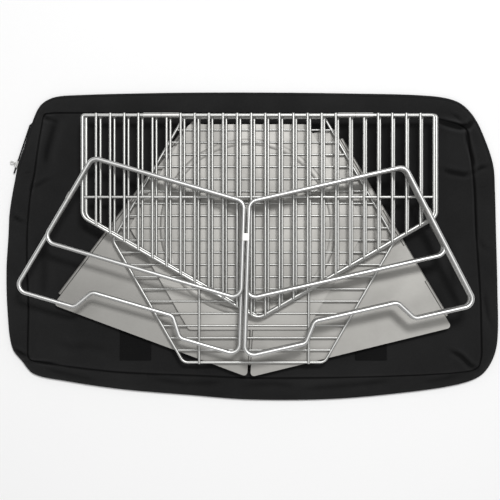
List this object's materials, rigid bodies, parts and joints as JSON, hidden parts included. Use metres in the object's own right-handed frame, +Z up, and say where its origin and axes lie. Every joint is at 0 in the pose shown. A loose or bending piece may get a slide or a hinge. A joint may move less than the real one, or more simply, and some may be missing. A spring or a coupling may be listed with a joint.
{
  "type": "fire bowl grill",
  "caption": "Knock-down hexagonal fire bowl grill folded flat on its carry bag: hinged bowl plates, ash plate, charcoal and cooking grates and wire stand.",
  "frame": {"origin": "middle of the bag's underside, on the ground", "axes": "+X to the right across the kit, +Y towards the back edge where the cooking grate folds, +Z up"},
  "size_m": [0.5832, 0.3637, 0.0762],
  "materials": {
    "bag_fabric": "plain woven black polyester",
    "bag_webbing": "ribbed black webbing",
    "zip_teeth": "black coil",
    "zip_metal": "bright plated",
    "sheet_steel": "satin stainless sheet",
    "pin_steel": "bright drawn wire",
    "grate_wire": "polished stainless wire",
    "stand_wire": "bright polished stainless wire",
    "clip_steel": "polished stainless strip"
  },
  "bodies": {
    "carry_bag": {"bag_body": "bag_fabric", "webbing_left": "bag_webbing", "webbing_right": "bag_webbing", "zip_chain": "zip_teeth"},
    "zip_slider": {"zip_slider": "zip_metal"},
    "zip_pull": {"zip_pull": "zip_metal"},
    "bowl_plate_1": {"bowl_plate_1": "sheet_steel", "bowl_pin_1": "pin_steel", "bowl_pin_6": "pin_steel"},
    "bowl_plate_2": {"bowl_plate_2": "sheet_steel", "bowl_pin_2": "pin_steel"},
    "bowl_plate_3": {"bowl_plate_3": "sheet_steel", "bowl_pin_3": "pin_steel"},
    "bowl_plate_4": {"bowl_plate_4": "sheet_steel", "bowl_pin_4": "pin_steel"},
    "bowl_plate_5": {"bowl_plate_5": "sheet_steel", "bowl_pin_5": "pin_steel"},
    "bowl_plate_6": {"bowl_plate_6": "sheet_steel"},
    "ash_plate": {"ash_plate": "sheet_steel"},
    "charcoal_grate": {"charcoal_grate_rim": "grate_wire", "charcoal_grate_bars": "grate_wire", "charcoal_grate_rods": "grate_wire"},
    "cooking_grate_lower": {"cooking_grate_lower_rim": "grate_wire", "cooking_grate_lower_bars": "grate_wire", "cooking_grate_lower_rod": "grate_wire"},
    "cooking_grate_clips": {"cooking_grate_clips": "clip_steel"},
    "cooking_grate_upper": {"cooking_grate_upper_rim": "grate_wire", "cooking_grate_upper_bars": "grate_wire", "cooking_grate_upper_rod": "grate_wire"},
    "stand_frame_1": {"stand_frame_1": "stand_wire", "stand_sleeve_1": "clip_steel"},
    "stand_frame_2": {"stand_frame_2": "stand_wire", "stand_sleeve_2": "clip_steel"},
    "stand_frame_3": {"stand_frame_3": "stand_wire"},
    "stand_sleeve_3": {"stand_sleeve_3": "clip_steel"},
    "stand_frame_4": {"stand_frame_4": "stand_wire"},
    "stand_frame_5": {"stand_frame_5": "stand_wire", "stand_sleeve_4": "clip_steel"},
    "stand_frame_6": {"stand_frame_6": "stand_wire", "stand_sleeve_5": "clip_steel", "stand_sleeve_6": "clip_steel"}
  },
  "joints": [
    {"name": "zip_slide", "type": "slide", "parent": "carry_bag", "child": "zip_slider", "axis": [0.3162, 0.9487, 0], "range_m": [0, 0.041]},
    {"name": "zip_pull_turn", "type": "hinge", "parent": "zip_slider", "child": "zip_pull", "pos_m": [-0.28167, 0.09914, 0.003], "axis": [0.3162, 0.9487, 0], "range_deg": [0, 90]},
    {"name": "bowl_lift", "type": "slide", "parent": "carry_bag", "child": "bowl_plate_1", "axis": [0, 0, 1], "range_m": [0, 0.25]},
    {"name": "bowl_hinge_1", "type": "hinge", "parent": "bowl_plate_1", "child": "bowl_plate_2", "pos_m": [0.01096, 0.10317, 0.0163], "axis": [-0.0558, -0.9984, 0], "range_deg": [0, 50.19]},
    {"name": "bowl_hinge_2", "type": "hinge", "parent": "bowl_plate_2", "child": "bowl_plate_3", "pos_m": [0.10494, 0.12625, 0.0193], "axis": [0.512, -0.859, 0], "range_deg": [-129.83, 0]},
    {"name": "bowl_hinge_3", "type": "hinge", "parent": "bowl_plate_3", "child": "bowl_plate_4", "pos_m": [0.01096, 0.10317, 0.0223], "axis": [-0.0558, -0.9984, 0], "range_deg": [0, 230.21]},
    {"name": "bowl_hinge_4", "type": "hinge", "parent": "bowl_plate_4", "child": "bowl_plate_5", "pos_m": [0.10494, 0.12625, 0.0253], "axis": [0.512, -0.859, 0], "range_deg": [-129.83, 0]},
    {"name": "bowl_hinge_5", "type": "hinge", "parent": "bowl_plate_5", "child": "bowl_plate_6", "pos_m": [0.01096, 0.10317, 0.0283], "axis": [-0.0558, -0.9984, 0], "range_deg": [0, 48.75]},
    {"name": "ash_plate_lift", "type": "slide", "parent": "bowl_plate_1", "child": "ash_plate", "axis": [0, 0, 1], "range_m": [0, 1.12]},
    {"name": "charcoal_grate_lift", "type": "slide", "parent": "ash_plate", "child": "charcoal_grate", "axis": [0, 0, 1], "range_m": [0, 0.2]},
    {"name": "cooking_grate_lift", "type": "slide", "parent": "charcoal_grate", "child": "cooking_grate_lower", "axis": [0, 0, 1], "range_m": [0, 0.2]},
    {"name": "cooking_grate_clip_turn", "type": "hinge", "parent": "cooking_grate_lower", "child": "cooking_grate_clips", "pos_m": [0.0077, 0.1513, 0.0427], "axis": [-1, 0, 0], "range_deg": [0, 90.02]},
    {"name": "cooking_grate_upper_turn", "type": "hinge", "parent": "cooking_grate_clips", "child": "cooking_grate_upper", "pos_m": [0.0077, 0.1513, 0.0473], "axis": [-1, 0, 0], "range_deg": [0, 90.02]},
    {"name": "stand_lift", "type": "slide", "parent": "cooking_grate_lower", "child": "stand_frame_1", "axis": [0, 0, 1], "range_m": [0, 0.83]},
    {"name": "stand_hinge_1", "type": "hinge", "parent": "stand_frame_1", "child": "stand_frame_2", "pos_m": [0.0092, 0.42131, 0.05495], "axis": [-0.0314, -0.9995, 0], "range_deg": [0, 53.11]},
    {"name": "stand_hinge_2", "type": "hinge", "parent": "stand_frame_2", "child": "stand_frame_3", "pos_m": [0.00353, 0.42003, 0.06095], "axis": [0.4571, -0.8894, 0], "range_deg": [-126.91, 0]},
    {"name": "stand_sleeve_3_turn", "type": "hinge", "parent": "stand_frame_3", "child": "stand_sleeve_3", "pos_m": [0.0092, 0.42131, 0.06095], "axis": [-0.0314, -0.9995, 0], "range_deg": [0, 116.57]},
    {"name": "stand_hinge_3", "type": "hinge", "parent": "stand_sleeve_3", "child": "stand_frame_4", "pos_m": [0.0092, 0.42131, 0.06695], "axis": [-0.0314, -0.9995, 0], "range_deg": [0, 116.57]},
    {"name": "stand_hinge_4", "type": "hinge", "parent": "stand_frame_4", "child": "stand_frame_5", "pos_m": [0.00353, 0.42003, 0.06695], "axis": [0.4571, -0.8894, 0], "range_deg": [-126.91, 0]},
    {"name": "stand_hinge_5", "type": "hinge", "parent": "stand_frame_5", "child": "stand_frame_6", "pos_m": [0.0092, 0.42131, 0.07295], "axis": [-0.0314, -0.9995, 0], "range_deg": [0, 49.93]}
  ],
  "couplings": [
    {"joint": "bowl_hinge_2", "follows": "bowl_hinge_1", "ratio": -2.5862},
    {"joint": "bowl_hinge_3", "follows": "bowl_hinge_1", "ratio": 4.5862},
    {"joint": "bowl_hinge_4", "follows": "bowl_hinge_1", "ratio": -2.5862},
    {"joint": "bowl_hinge_5", "follows": "bowl_hinge_1", "ratio": 0.97094},
    {"joint": "ash_plate_lift", "follows": "bowl_hinge_1", "m_per_rad": 1.2762},
    {"joint": "cooking_grate_clip_turn", "follows": "stand_lift", "rad_per_m": 1.8925},
    {"joint": "cooking_grate_upper_turn", "follows": "stand_lift", "rad_per_m": 1.8925},
    {"joint": "stand_hinge_2", "follows": "stand_hinge_1", "ratio": -2.3894},
    {"joint": "stand_sleeve_3_turn", "follows": "stand_hinge_1", "ratio": 2.1947},
    {"joint": "stand_hinge_3", "follows": "stand_hinge_1", "ratio": 2.1947},
    {"joint": "stand_hinge_4", "follows": "stand_hinge_1", "ratio": -2.3894},
    {"joint": "stand_hinge_5", "follows": "stand_hinge_1", "ratio": 0.93972}
  ]
}
